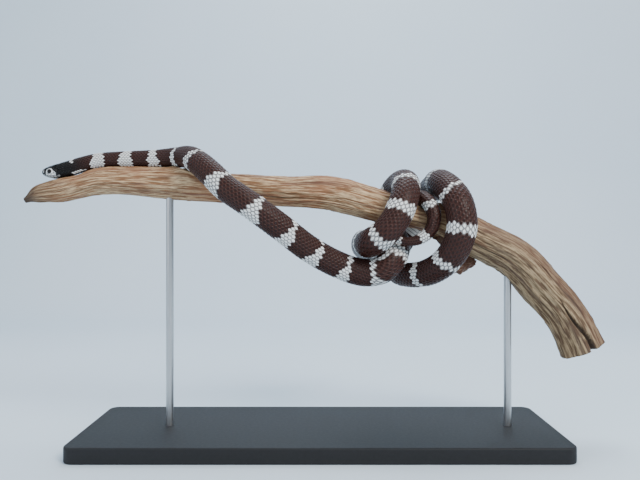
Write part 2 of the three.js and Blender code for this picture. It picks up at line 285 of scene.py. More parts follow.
def centripetal(points, count):
    """Points of a centripetal Catmull-Rom curve, count to each span."""
    points = np.vstack([2 * points[0] - points[1], points, 2 * points[-1] - points[-2]])
    out = []
    for i in range(1, len(points) - 2):
        p0, p1, p2, p3 = points[i - 1 : i + 3]
        t1 = np.linalg.norm(p1 - p0) ** 0.5
        t2 = t1 + np.linalg.norm(p2 - p1) ** 0.5
        t3 = t2 + np.linalg.norm(p3 - p2) ** 0.5
        t = (t1 + (t2 - t1) * np.arange(count) / count)[:, None]
        a1 = (t1 - t) / t1 * p0 + t / t1 * p1
        a2 = (t2 - t) / (t2 - t1) * p1 + (t - t1) / (t2 - t1) * p2
        a3 = (t3 - t) / (t3 - t2) * p2 + (t - t2) / (t3 - t2) * p3
        b1 = (t2 - t) / t2 * a1 + t / t2 * a2
        b2 = (t3 - t) / (t3 - t1) * a2 + (t - t1) / (t3 - t1) * a3
        out.append((t2 - t) / (t2 - t1) * b1 + (t - t1) / (t2 - t1) * b2)
    return np.vstack(out + [points[-2][None]])


def unit(v):
    return v / np.maximum(np.linalg.norm(v, axis=-1, keepdims=True), 1e-12)


def run_along(line):
    """The distance along a line of points to each of them."""
    return np.concatenate([[0], np.cumsum(np.linalg.norm(np.diff(line, axis=0), axis=1))])


def smoothed(values, count):
    """Values averaged over count neighbours."""
    return np.convolve(np.pad(values, count // 2, mode="edge"), np.ones(count) / count, "valid")


class Backbone:
    """The snake's form: a point on it is s mm from the snout and angle radians round from the back."""

    def __init__(self):
        line = centripetal(np.array(ROUTE, dtype=float), 40)
        run = run_along(line)
        self.length = run[-1]
        self.s = np.linspace(0, self.length, 8001)
        self.centre = np.stack([np.interp(self.s, run, column) for column in line.T], axis=1)
        tangent = np.gradient(self.centre, axis=0)
        self.tangent = unit(np.stack([smoothed(column, 9) for column in tangent.T], axis=1))
        keys = [key for key, _ in BACK]
        backs = unit(np.array([back for _, back in BACK], dtype=float))
        up = np.stack([np.interp(self.s, keys, column) for column in backs.T], axis=1)
        self.up = unit(up - self.tangent * (up * self.tangent).sum(axis=1, keepdims=True))
        self.side = np.cross(self.tangent, self.up)
        stations = [row[0] for row in HEAD] + [s for s, _ in GIRTH]
        sizes = [row[1:] for row in HEAD] + [(r, r, BELLY * r) for _, r in GIRTH]
        nose = np.sqrt(np.clip(1 - (1 - np.clip(self.s / SNOUT_ROUND, 0, 1)) ** 2, 0, 1))
        self.size = [smoothed(np.interp(self.s, stations, column), 11) * nose for column in zip(*sizes)]

    def along(self, table, s):
        """Vectors of one of the backbone's tables, s mm from the snout."""
        return np.stack([np.interp(s, self.s, column) for column in table.T], axis=-1)

    def at(self, s, angle, lift=0.0):
        """Points in metres, lift mm above the outside of the scales."""
        s, angle, lift = np.broadcast_arrays(np.asarray(s, float), angle, lift)
        half, top, under = (np.interp(s, self.s, size) for size in self.size)
        square = np.interp(s, [HEAD_END, 26], [SQUARE, 1.0])
        across = np.sign(np.sin(angle)) * np.abs(np.sin(angle)) ** square
        rise = np.sign(np.cos(angle)) * np.abs(np.cos(angle)) ** square
        depth = np.where(rise > 0, top, under)
        side = self.along(self.side, s)
        up = self.along(self.up, s)
        outward = side * (np.sin(angle) / np.maximum(half, 0.3))[..., None]
        outward = unit(outward + up * (np.cos(angle) / np.maximum(depth, 0.3))[..., None])
        middle = self.along(self.centre, s)
        point = middle + side * (half * across)[..., None] + up * (depth * rise)[..., None]
        return (point + outward * lift[..., None]) * MM

    def half(self, s):
        return np.interp(s, self.s, self.size[0])


snake = Backbone()
LENGTH = snake.length

# White bands by distance from the snout to their middle, then half their length on the back and low
# on the flank, and for a slanting one how far its left end runs back
BANDS = [
    (45, 3.4, 5.8), (68, 3.1, 5.6), (90.5, 2.6, 4.8), (112.6, 1.7, 3.6), (141, 2.0, 4.2),
    (173.7, 1.7, 6.4), (206, 1.6, 6.6), (236, 1.5, 5.6), (262.5, 1.6, 5.4), (290.5, 1.7, 5.4),
    (317, 2.0, 4.8), (337.5, 3.6, 5.0),
    (377, 2.6, 5), (412, 2.8, 5), (454, 2.8, 4.2), (479.5, 3.3, 4.4), (504, 2.4, 3.6), (528, 1.8, 3.0),
    (562, 2.6, 5), (595, 2.6, 5), (628, 2.6, 5), (661, 2.6, 5), (693, 2.6, 4.6), (724, 1.7, 3.2, 4.5),
    (755, 2.9, 4.2), (782, 2.4, 3.6), (809.5, 2.2, 3.4), (848, 2.4, 4), (884, 2.4, 4), (920, 2.2, 3.6),
    (957, 2.2, 3.2), (984, 3.2, 4.2), (1003, 1.5, 2),
]
NAPE_AT = 25.2  # the white spot behind the head
LINK = {"at": 327, "turn": -66}  # the white line that joins two bands low on one flank
THROAT_TURN = 141  # the white streak along each side of the throat

# Where the large head plates end, as degrees round from the back and mm from the snout
PLATES_END = [
    (0, 15.2), (20, 15.3), (34, 14.9), (55, 13.3), (70, 13.6), (98, 15.4), (125, 15.6), (150, 13.6),
    (180, 12.0),
]


def plates_end(angle):
    return np.interp(np.degrees(np.abs(angle)), *zip(*PLATES_END))


def smoothstep(low, high, value):
    t = np.clip((value - low) / (high - low), 0, 1)
    return t * t * (3 - 2 * t)


def band_white(s, angle):
    """1 within a white band and 0 in the brown, in a narrow ramp between."""
    low = smoothstep(0.06, 0.62, np.abs(angle) / math.pi)
    white = np.zeros(np.broadcast(s, angle).shape)
    for i, (middle, back, flank, *slant) in enumerate(BANDS):
        lean = 0.6 * np.sin(2 * angle + 1.7 * i) + sum(slant) * np.sin(angle)
        half = back + (flank - back) * low + 0.3 * np.sin(5 * angle + 2.9 * i)
        white = np.maximum(white, smoothstep(-0.5, 0.5, half - np.abs(s - middle - lean)))
    turn = np.degrees(np.abs(angle))
    nape = smoothstep(-0.3, 0.3, 2.6 * (1 - turn / 74) - np.abs(s - NAPE_AT))
    link = smoothstep(-2, 2, 10 - np.abs(np.degrees(angle) - LINK["turn"]))
    link = link * smoothstep(12, 10, np.abs(s - LINK["at"]))
    streak = 12 * np.clip((38 - s) / 14, 0, 1) * smoothstep(22, 24, s)
    throat = smoothstep(-2, 2, streak - np.abs(turn - THROAT_TURN))
    return np.maximum(np.maximum(white, link), np.maximum(nape, throat))


# The skin's unwrap: twelve lengths of it laid side by side, four to a row and three rows
STRIPS = 12
MARGIN = 0.02


def unwrap(s, angle, strip):
    along = s / LENGTH * STRIPS - strip
    u = (strip % 4 + MARGIN + (1 - 2 * MARGIN) * along) / 4
    v = (strip // 4 + MARGIN + (1 - 2 * MARGIN) * (angle / (2 * math.pi) + 0.5)) / 3
    return np.stack([u, v], axis=-1)


def strip_of(s):
    return np.clip(np.floor(s / LENGTH * STRIPS), 0, STRIPS - 1)


# Folds of the head that skin and plates share: how far out, the degrees round and how wide, and the
# distance from the snout and how long
FOLDS = {
    "brow": (0.38, 60, 13, 7.4, 2.4),
    "cheek hollow": (-0.32, 84, 15, 4.3, 1.2),
    "jaw muscle": (0.3, 95, 26, 13.6, 2.8),
    "eye socket": (-0.2, 90, 20, 7.4, 2.2),
}


def face_relief(s, angle):
    turn = np.degrees(np.abs(angle))
    relief = 0.0
    for rise, middle, wide, at, long in FOLDS.values():
        relief = relief + rise * np.exp(-(((turn - middle) / wide) ** 2) - ((s - at) / long) ** 2)
    return relief


def snake_material(name, gloss, rim_light):
    """Scale colours from the marks on the mesh: white, tone, rim and head."""
    made, start, shader = new_material(name)
    white = start.attribute("white")
    tone = start.attribute("tone")
    rim = start.attribute("rim")
    head = start.attribute("head")
    where = start.place()
    fine = where.noise(900.0, 2.0)
    broad = where.noise(60.0, 2.0)
    brown = (rim * rim_light).mix(colour(0.0078, 0.0026, 0.0021), colour(0.078, 0.027, 0.0195))
    warm = (tone * 0.5 + broad * 0.4).clipped()
    brown = (warm * 0.5).mix(brown, colour(0.024, 0.0066, 0.0042))
    black = (rim * 0.35).mix(colour(0.0032, 0.0028, 0.0030), colour(0.010, 0.008, 0.008))
    dark = head.mix(brown, black)
    pale = (tone * 0.3 + fine * 0.2).mix(colour(0.90, 0.91, 0.90), colour(0.60, 0.59, 0.56))
    pale = rim.step(0.44, 0.72).mix(pale, colour(0.050, 0.038, 0.036))
    feed(shader, {
        "Base Color": white.mix(dark, pale),
        "Roughness": fine * 0.12 + gloss,
        "Specular IOR Level": 0.24,
        "Normal": bumped(where.noise(2600.0, 2.0), 0.12, 0.0001),
    })
    return made


def with_ends(values, end=True):
    """A grid's values in one list, then the mean of its first ring and, if end, of its last."""
    rings = values[[0, -1] if end else [0], :-1].mean(axis=1)
    return np.concatenate([values.reshape(-1, *values.shape[2:]), rings])


def tube_faces(rows, columns, end=True):
    """Faces of a grid whose last column repeats its first, with a fan over its start and its end.

    The first list keeps both columns, for the UV map. The second joins them, for the mesh.
    """
    ring = np.arange(columns - 1)
    last = (rows - 1) * columns + ring
    middle = np.full(columns - 1, rows * columns)
    fans = [np.stack([middle, ring + 1, ring], axis=1)]
    if end:
        fans.append(np.stack([middle + 1, last, last + 1], axis=1))
    corners = [grid_faces(rows, columns), np.concatenate(fans)]
    joined = [faces - (faces % columns == columns - 1) * (columns - 1) for faces in corners]
    return corners, joined


def build_skin():
    depth_neck, depth_body, depth_head = 0.58, 0.45, 0.8
    sides = 88
    rings = np.concatenate([
        SNOUT_ROUND * np.linspace(0.03, 1, 10) ** 2,
        np.arange(1.6, 22, 0.3),
        np.linspace(22, LENGTH - 0.3, 760),
    ])
    s, a = np.meshgrid(rings, np.linspace(-math.pi, math.pi, sides + 1), indexing="ij")
    near_tip = np.minimum(1, snake.half(s) / 2.2)
    lift = -np.interp(s, [10.0, 13.0], [depth_head, depth_neck]) * near_tip
    lift = np.where(s > 16, -np.interp(s, [16, 24], [depth_neck, depth_body]), lift)
    points = snake.at(s, a, lift + face_relief(s, a))
    all_s = np.append(s.ravel(), [0, LENGTH])
    all_a = np.append(a.ravel(), [0, 0])
    corners, joined = tube_faces(*s.shape)
    uv = []
    for faces in corners:
        strip = strip_of(all_s[faces].mean(axis=1))[:, None]
        flat = unwrap(all_s[faces], all_a[faces], np.broadcast_to(strip, faces.shape))
        uv.append(flat.reshape(-1, 2))
    marks = {
        "white": band_white(all_s, all_a) * (all_s > 15),
        "tone": np.full(len(all_s), 0.4),
        "rim": np.full(len(all_s), 0.62),
        "head": smoothstep(42, 20, all_s),
    }
    skin = mesh_object(
        "snake_skin", with_ends(points), joined,
        snake_material("snake_skin", 0.42, 0.9), np.concatenate(uv), marks,
    )
    flesh = [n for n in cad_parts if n.startswith(("head", "jaw", "neck", "body", "tail"))]
    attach(skin, "root")
    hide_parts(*flesh)


build_skin()


# Scales of the back and flanks
# Smooth horn-like scales in twenty-three staggered rows, fewer towards the tail. Each is a low dome
# with its free edge to the rear. In a white band whole scales are white.
#
# How far from the snout, and the number of rows from there on
ROWS = [(0, 21), (60, 23), (790, 21), (830, 19), (870, 17), (900, 13), (940, 11), (968, 9), (998, 7)]
# How far from the snout, and the distance there from one scale of a row to the next
PITCH = [
    (11, 1.5), (16, 1.8), (30, 2.3), (80, 2.7), (130, 3.1), (250, 3.25), (760, 3.3), (860, 2.9), (940, 2.5),
    (1020, 1.6),
]
SPREAD = math.radians(141)  # how far round from the back the rows reach
ROOT_DEPTH = 0.42  # how deep a scale's rim lies in the skin
SKIRT_DEPTH = 0.56  # how deep its lowest edge goes, so that it never shows
PATCH = 0.0015  # half the side of a scale's own patch on the unwrap
scale_gloss = snake_material("snake_scales", 0.24, 1.0)


def scale_template(segments=12):
    """Rings of (x along, y across, distance out) of one scale, its faces, and how high each point is."""
    rings = [0.55, 0.87, 1.0]
    turn = np.arange(segments) * 2 * math.pi / segments
    blunt = (np.abs(np.cos(turn)) ** 1.5 + np.abs(np.sin(turn)) ** 1.5) ** (-1 / 1.5)
    x = np.concatenate([[0.0]] + [r * blunt * np.cos(turn) for r in rings])
    y = np.concatenate([[0.0]] + [r * blunt * np.sin(turn) for r in rings])
    out = np.concatenate([[0.0]] + [np.full(segments, r) for r in rings])
    k = np.arange(segments)
    after = (k + 1) % segments
    centre = np.stack([np.zeros(segments, int), 1 + after, 1 + k], axis=1)
    bands = [
        np.stack([1 + i * segments + after, 1 + (i + 1) * segments + after, 1 + (i + 1) * segments + k,
                  1 + i * segments + k], axis=1)
        for i in range(len(rings) - 1)
    ]
    return x, y, out, centre, np.concatenate(bands)


def scale_places():
    """(s, angle, row width in mm, pitch) of every scale of the back and flanks."""
    places = []
    s = 11.0
    while s < LENGTH - 3:
        pitch = np.interp(s, *zip(*PITCH))
        rows = [count for start, count in ROWS if s >= start][-1]
        width = 2 * SPREAD / rows
        for row in range(rows):
            angle = -SPREAD + (row + 0.5) * width
            stagger = 0.5 * pitch if row % 2 else 0.0
            if s + stagger > plates_end(angle) + 0.35:
                places.append((s + stagger, angle, width, pitch))
        s += pitch
    return np.array(places)


def build_scales():
    rng = np.random.default_rng(41)
    x, y, out, centre_faces, band_faces = scale_template()
    places = scale_places()
    for piece, chosen in enumerate(np.array_split(np.arange(len(places)), 4)):
        s0, a0, width, pitch = places[chosen].T
        count = len(chosen)
        half = snake.half(s0)
        nudge = 0.4
        ahead = snake.at(s0 + nudge, a0) - snake.at(s0 - nudge, a0)
        stretch = np.clip(np.linalg.norm(ahead, axis=1) / MM / (2 * nudge), 0.6, 1.45)
        reach = 0.61 * pitch / np.clip(stretch, 0.8, 1.3)
        breadth = 0.595 * width
        du = x[None, :] * reach[:, None] * rng.uniform(0.96, 1.03, (count, 1))
        da = y[None, :] * breadth[:, None] * rng.uniform(0.96, 1.03, (count, 1))
        tall = (0.36 * np.minimum(1, half / 8))[:, None]
        dome = 1 - out[None, :] ** 3.4
        lift = -ROOT_DEPTH + tall * dome + 0.11 * x[None, :] * (out < 0.95)
        lift = np.where(out[None, :] > 0.95, -SKIRT_DEPTH, lift) * np.minimum(1, half / 5)[:, None]
        s = s0[:, None] + du
        a = a0[:, None] + da
        points = snake.at(s, a, lift + face_relief(s, a))
        lot = len(x)
        offset = (np.arange(count) * lot)[:, None, None]
        tris = (centre_faces[None] + offset).reshape(-1, 3)
        quads = (band_faces[None] + offset).reshape(-1, 4)
        root = unwrap(s0, a0, strip_of(s0))
        own = np.stack([x, y], axis=1) * PATCH
        uv_points = (root[:, None, :] + own[None]).reshape(-1, 2)
        uv = np.concatenate([uv_points[tris.ravel()], uv_points[quads.ravel()]])
        white = (band_white(s0, a0) + rng.uniform(-0.12, 0.12, count) > 0.5).astype(float)
        tone = rng.uniform(0, 1, count)
        marks = {
            "white": np.repeat(white, lot),
            "tone": np.repeat(tone, lot),
            "rim": np.tile(out ** 2.6, count) * (1 - 0.15 * np.repeat(tone, lot)),
            "head": np.repeat(smoothstep(42, 20, s0), lot),
        }
        name = f"scales_{piece + 1}"
        scales = mesh_object(name, points.reshape(-1, 3), [tris, quads], scale_gloss, uv, marks)
        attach(scales, "root")


build_scales()


# Belly plates
# One broad plate across the belly to each step of scales, smooth and glossy, its rear edge free.
def build_belly():
    rng = np.random.default_rng(7)
    # One plate is a grid across the belly and along it, lifted row by row, with its sides sunk
    across = np.linspace(-1, 1, 17)
    along = np.array([-0.62, -0.5, -0.1, 0.3, 0.52, 0.56])
    lifts = np.array([-0.6, -0.42, -0.22, -0.08, -0.12, -0.6])
    starts = []
    s = 12.4
    while s < LENGTH - 3:
        starts.append(s)
        s += np.interp(s, *zip(*PITCH)) * 1.06
    s0 = np.array(starts)
    pitch = np.interp(s0, *zip(*PITCH)) * 1.06
    reach = math.pi - SPREAD + math.radians(3)
    u, v = np.meshgrid(along, across, indexing="ij")
    curve = 0.16 * (1 - v**2)
    edge = np.abs(v) > 0.99
    s = s0[:, None, None] + pitch[:, None, None] * (u + curve)[None]
    a = math.pi + reach * v[None] * np.ones_like(s)
    lift = np.where(edge, -0.6, np.interp(u, along, lifts))[None] * np.minimum(1, snake.half(s) / 6)
    signed = np.where(a > math.pi, a - 2 * math.pi, a)
    points = snake.at(s, signed, lift)
    lot = u.size
    faces = grid_faces(len(along), len(across))
    quads = (faces[None] + (np.arange(len(s0)) * lot)[:, None, None]).reshape(-1, 4)
    root = unwrap(s0, np.full(len(s0), math.pi * 0.985), strip_of(s0))
    own = np.stack([u.ravel() * 1.6, v.ravel()], axis=1) * PATCH
    uv = (root[:, None, :] + own[None]).reshape(-1, 2)[quads.ravel()]
    white = (band_white(s0[:, None, None], np.abs(signed)) > 0.5).astype(float)
    blotch = rng.uniform(0, 1, len(s0))
    marks = {
        "white": (white * np.ones_like(s)).ravel(),
        "tone": np.repeat(blotch, lot),
        "rim": np.tile(np.interp(u.ravel(), [-0.5, 0.2, 0.5], [0.1, 0.3, 0.8]), len(s0)),
        "head": np.repeat(smoothstep(42, 20, s0), lot),
    }
    belly = mesh_object("belly_plates", points.reshape(-1, 3), [quads], scale_gloss, uv, marks)
    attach(belly, "root")


build_belly()


# Head plates, lips, nostrils and eye rims
# Large smooth plates with fine grooves between them, near black on the crown, with white lips whose
# grooves are dark. The line of the mouth runs back under the eye and turns up at its corner.
#
# X and Z of the line between the lips, in mm
MOUTH = [(-224, 212.6), (-219.5, 212.1), (-214.5, 211.2), (-209.5, 211), (-206.2, 211.9), (-205.4, 212.6)]
EYE = {"along": 7.4, "radius": 1.9, "outward": 4.75, "rise": 0.1}
NOSTRIL = {"along": 1.9, "turn": 74, "radius": 0.42}


def mouth_turn(s):
    """Degrees round from the back at which the mouth lies, s mm from the snout."""
    centre = snake.along(snake.centre, s)
    drop = centre[..., 2] - np.interp(centre[..., 0], *zip(*MOUTH))
    under = np.interp(s, snake.s, snake.size[2])
    part = np.clip(drop / np.maximum(under, 0.5), 0.02, 0.98) ** (1 / SQUARE)
    return 180 - np.degrees(np.arccos(part))


LIP = 99  # degrees round from the back of the upper lip's top edge
CHIN = 151  # and of the lower lip's bottom edge
# Grooves between the plates, each a bent line of (mm from the snout, degrees round from the back)
PLATE_LINES = [
    [(0.9, 0), (1.0, 45), (1.1, 98)],
    [(0.9, 0), (5.2, 0)],
    [(2.7, 0), (2.8, 52), (2.9, LIP)],
    [(1.0, 48), (2.8, 52), (4.0, 60), (5.4, 66)],
    [(5.2, 0), (4.9, 24), (5.6, 42), (5.4, 66)],
    [(4.9, 24), (6.2, 26), (8.4, 19), (9.6, 0)],
    [(5.4, 66), (7.4, 62), (9.2, 60)],
    [(8.4, 19), (9.2, 38), (9.2, 60)],
    [(9.6, 0), (14.9, 0)],
    [(9.2, 60), (11, 64), (13.2, 54), (14.8, 34), (14.9, 0)],
    [(4.4, 62), (4.4, LIP)],
    [(1.1, 98), (4.4, LIP), (6.2, 108), (8.6, 108), (10.4, 100), (15.8, LIP)],
    [(10.4, 63), (10.4, 100)],
    [(9.4, 84), (10.4, 82), (13, 78), (15.8, 76)],
    [(12.8, 56), (13.1, LIP)],
    [(14.8, 34), (15.3, 60), (15.4, LIP)],
    [(1.1, CHIN - 4), (5, CHIN), (10, CHIN), (15.5, CHIN - 6)],
    [(1.0, 180), (9.5, 180)],
    [(5.2, CHIN), (5.0, 180)],
    [(9.8, CHIN), (9.2, 180)],
    [(10, CHIN), (12, 168), (15.8, 162)],
    [(12.0, 180), (12.2, 168), (13.4, CHIN)],
]
# Where grooves cross the upper and the lower lip, in mm from the snout
LIP_STOPS = [1.15, 2.7, 4.3, 6.0, 8.3, 10.6, 13.0, 15.2]
CHIN_STOPS = [1.0, 2.2, 3.6, 5.2, 7.2, 9.6, 12.2, 14.8]


def line_distance(s, turn, radius, line):
    """Distance in mm on the head from each point to a bent line of (s, degrees)."""
    best = np.full(s.shape, 99.0)
    for (s1, t1), (s2, t2) in zip(line[:-1], line[1:]):
        ax, ay = s - s1, np.radians(turn - t1) * radius
        bx, by = s2 - s1, math.radians(t2 - t1) * radius
        k = np.clip((ax * bx + ay * by) / np.maximum(bx * bx + by * by, 1e-9), 0, 1)
        best = np.minimum(best, np.hypot(ax - k * bx, ay - k * by))
    return best


def tube_object(name, points, material, uv, marks, end=True):
    """A mesh from a grid of points that closes round, with grids of UV pairs and marks."""
    corners, joined = tube_faces(*points.shape[:2], end)
    uv_points = with_ends(uv, end)
    corner_uv = np.concatenate([uv_points[faces.ravel()] for faces in corners])
    listed = {key: with_ends(values, end) for key, values in marks.items()}
    return mesh_object(name, with_ends(points, end), joined, material, corner_uv, listed)


def build_head():
    rows_s = np.concatenate([
        SNOUT_ROUND * np.linspace(0.015, 1, 26) ** 2,
        np.arange(1.37, HEAD_END, 0.072),
    ])
    angle = np.linspace(-math.pi, math.pi, 361)
    s, a = np.meshgrid(rows_s, angle, indexing="ij")
    turn = np.degrees(np.abs(a))
    radius = np.maximum(snake.half(s), 0.5)
    mouth = mouth_turn(rows_s)[:, None] * np.ones_like(s)
    lines = list(PLATE_LINES)
    for stop in LIP_STOPS:
        top = 108 if 6 < stop < 8.6 else LIP
        lines.append([(stop, top), (stop + 0.15, mouth_turn(stop + 0.15))])
    for stop in CHIN_STOPS:
        lines.append([(stop, mouth_turn(stop)), (stop + 0.4, CHIN)])
    groove = np.min([line_distance(s, turn, radius, line) for line in lines], axis=0)
    mouth_line = [(q, mouth_turn(q)) for q in np.arange(0.1, 15.9, 0.4)]
    lips = line_distance(s, turn, radius, mouth_line)
    eye = np.hypot(s - EYE["along"], np.radians(turn - 88) * radius)
    nostril = np.hypot(s - NOSTRIL["along"], np.radians(turn - NOSTRIL["turn"]) * radius)

    # How far the plates stand out, in mm: pillows between grooves, the cut of the mouth, the upper
    # lip's overhang, the rim round the eye, the nostril, and the rear edge that sinks under the scales
    pillow = 0.17 * (1 - np.exp(-((groove / 0.24) ** 2))) - 0.14
    cut = -0.5 * np.exp(-((lips / 0.17) ** 2)) - 0.12 * np.exp(-((lips / 0.5) ** 2))
    overhang = 0.14 * np.exp(-(((turn - mouth + 6) / 5) ** 2)) * (s < 15)
    rim = 0.22 * np.exp(-(((eye - 1.85) / 0.28) ** 2)) - 0.2 * np.exp(-(((eye - 1.5) / 0.14) ** 2))
    pit = -0.5 * smoothstep(NOSTRIL["radius"] + 0.12, 0.1, nostril)
    pit += 0.09 * np.exp(-(((nostril - 0.62) / 0.16) ** 2))
    edge = -0.75 * smoothstep(0.1, 0.7, s - plates_end(a))
    edge = edge - 0.24 * smoothstep(-3.2, 0.2, s - plates_end(a))
    near_tip = np.minimum(1, radius / 2.0)
    lift = (pillow + cut + overhang + rim + edge) * near_tip + pit + face_relief(s, a)
    points = snake.at(s, a, lift)

    # Where the plates are white: the lips, a patch behind the eye, one on the snout, and the eye's ring
    inside = smoothstep(0.1, 0.24, groove) * smoothstep(0.12, 0.26, lips)
    upper = (turn > LIP) & (turn < mouth) & (s > 1.3) & (s < 15.2)
    lower = (turn > mouth) & (turn < CHIN) & (s > 1.2) & (s < 14.8)
    ring = smoothstep(2.9, 2.6, eye) * smoothstep(1.62, 1.78, eye) * (0.55 + 0.45 * (turn > 80))
    behind = (turn > 73 + 8.5 * np.clip(s - 9.0, 0, 9)) & (turn <= LIP + 4) & (s > 8.6) & (s < 12.6)
    snout = (turn > 60) & (turn < LIP) & (s > 2.2) & (s < 2.8)
    shown = smoothstep(3.9, 5.0, s) * smoothstep(12.4, 11.2, s)
    strength = np.where(upper, 0.95 * shown, np.where(lower, 0.3 + 0.2 * shown, 0.0))
    strength = np.maximum(strength, np.where(behind, 0.95, 0.0))
    strength = np.maximum(strength, np.where(snout, 0.8, 0.0))
    strength = np.where(turn >= CHIN, 0.3, np.maximum(strength, ring))
    white = strength * inside * smoothstep(1.6, 1.78, eye) * smoothstep(0.5, 0.8, nostril)
    marks = {
        "white": white,
        "tone": 0.35 + 0.2 * np.sin(3 * s) * np.cos(2 * a),
        "rim": np.zeros(s.shape),
        "head": np.ones(s.shape),
    }
    uv = np.stack([0.01 + 0.98 * s / HEAD_END, 0.01 + 0.98 * (a / (2 * math.pi) + 0.5)], axis=-1)
    gloss = snake_material("head_plates", 0.22, 1.0)
    plates = tube_object("head_plates", points, gloss, uv, marks, end=False)
    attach(plates, "root")


build_head()


# Eyes
# Round and dark under a clear scale, with a round pupil and a thin, slightly paler iris ring.
def build_eyes():
    made, start, shader = new_material("eye")
    ring = start.attribute("ring")
    iris = ring.step(0.42, 0.5).mix(colour(0.0015, 0.0015, 0.0015), colour(0.009, 0.0045, 0.003))
    outer = ring.step(0.72, 0.86).mix(iris, colour(0.004, 0.003, 0.003))
    gloss = {"Roughness": 0.06, "Specular IOR Level": 0.2, "Coat Weight": 0.2, "Coat Roughness": 0.02}
    feed(shader, {"Base Color": outer, **gloss})
    centre, side, up, tangent = (
        snake.along(table, EYE["along"]) for table in (snake.centre, snake.side, snake.up, snake.tangent)
    )
    tilt = np.linspace(0, math.pi, 40)[1:-1]
    turn = np.linspace(0, 2 * math.pi, 61)
    t, r = np.meshgrid(tilt, turn, indexing="ij")
    bulge = 1 + 0.05 * np.exp(-((t / 0.5) ** 2))
    uv = np.stack([t / math.pi, r / (2 * math.pi)], axis=-1)
    marks = {"ring": np.sin(np.minimum(t, math.pi / 2))}
    for name, hand in [("eye_left", 1), ("eye_right", -1)]:
        at = centre + side * hand * EYE["outward"] + up * EYE["rise"]
        out = np.cos(t)[..., None] * (side * hand)
        around = np.cos(r)[..., None] * up + hand * np.sin(r)[..., None] * tangent
        ball = out + np.sin(t)[..., None] * around
        points = (at + ball * (EYE["radius"] * bulge)[..., None]) * MM
        eye = tube_object(name + "_ball", points, made, uv, marks)
        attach(eye, "root")
        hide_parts(name)


build_eyes()


# Driftwood perch
# A peeled, weathered limb, bent down at its right end and sawn off there. Grain ridges and checks run
# along it, the left tip is dark, and a broken side limb leaves its underside behind the coils.
#
# Down the limb from its left tip: X and Z of its middle, its half height and its half depth, in mm
WOOD = [
    (-236, 191.6, 1.6, 1.6), (-225.6, 196, 6.4, 6.6), (-206.4, 198.3, 7.8, 8.6), (-184, 204.4, 9.2, 10.2),
    (-170.4, 206.4, 9.8, 11), (-150.4, 206.2, 10.5, 12), (-128, 204.8, 11.2, 12.5),
    (-105.6, 203.4, 11.4, 13),
    (-63, 201, 11.9, 13.5), (-30.4, 198.6, 12, 13.5), (2.4, 197.6, 13.4, 14), (20, 194.8, 14, 14.5),
    (36.8, 190.4, 13.8, 15), (51, 186.4, 13.2, 15), (66.4, 182.6, 12, 15), (80.8, 179.4, 11.6, 14.8),
    (96, 175.6, 13.4, 14.8), (110.4, 169.6, 15, 15), (124, 161.6, 15.4, 15), (138.4, 154.8, 15.4, 15.5),
    (151.2, 148, 15.8, 16), (163.2, 138.4, 16.5, 16.5), (176, 124, 16.8, 17), (192, 106.4, 16.5, 17),
    (201.6, 91.2, 17, 17), (210, 73, 18, 17),
]
# Drying cracks: start and end along the limb from 0 to 1, degrees round from the top, width and depth
CHECKS = [
    (0.06, 0.14, 64, 0.35, 0.7), (0.12, 0.20, 112, 0.35, 0.7), (0.20, 0.29, 78, 0.3, 0.6),
    (0.30, 0.42, 122, 0.45, 0.9), (0.36, 0.44, 86, 0.3, 0.6), (0.41, 0.5, 104, 0.4, 0.8),
    (0.66, 0.76, 70, 0.5, 1.0), (0.70, 0.84, 118, 0.6, 1.2), (0.82, 0.97, 66, 0.5, 1.0),
    (0.25, 0.6, 250, 0.5, 1.0), (0.5, 0.9, 285, 0.6, 1.2),
]
SPLIT = {"start": 0.90, "turn": 88, "width": 2.6, "depth": 6.0}
GRAIN_RADIUS = 14  # mm, the limb's radius in the grain's own straight space
BARE_GAP = 2.5  # mm, wood this far from the snake has raised fibres

# The broken side limb and the knob on it: middle line, radii along it, and how lumpy it is
SIDE_LIMB = {
    "perch_stub": (
        [(96, 2, 166), (106, 7, 156), (116, 9, 147), (125, 9, 140)],
        [8, 6.6, 5.9, 5.3, 3.9], 0.16,
    ),
    "perch_stub_knob": (
        [(126, 9, 142.5), (119, 9.5, 141.5), (111.5, 10, 139.5), (102.5, 9, 139)],
        [2.6, 5.6, 7.2, 7.6, 4.4], 0.26,
    ),
}


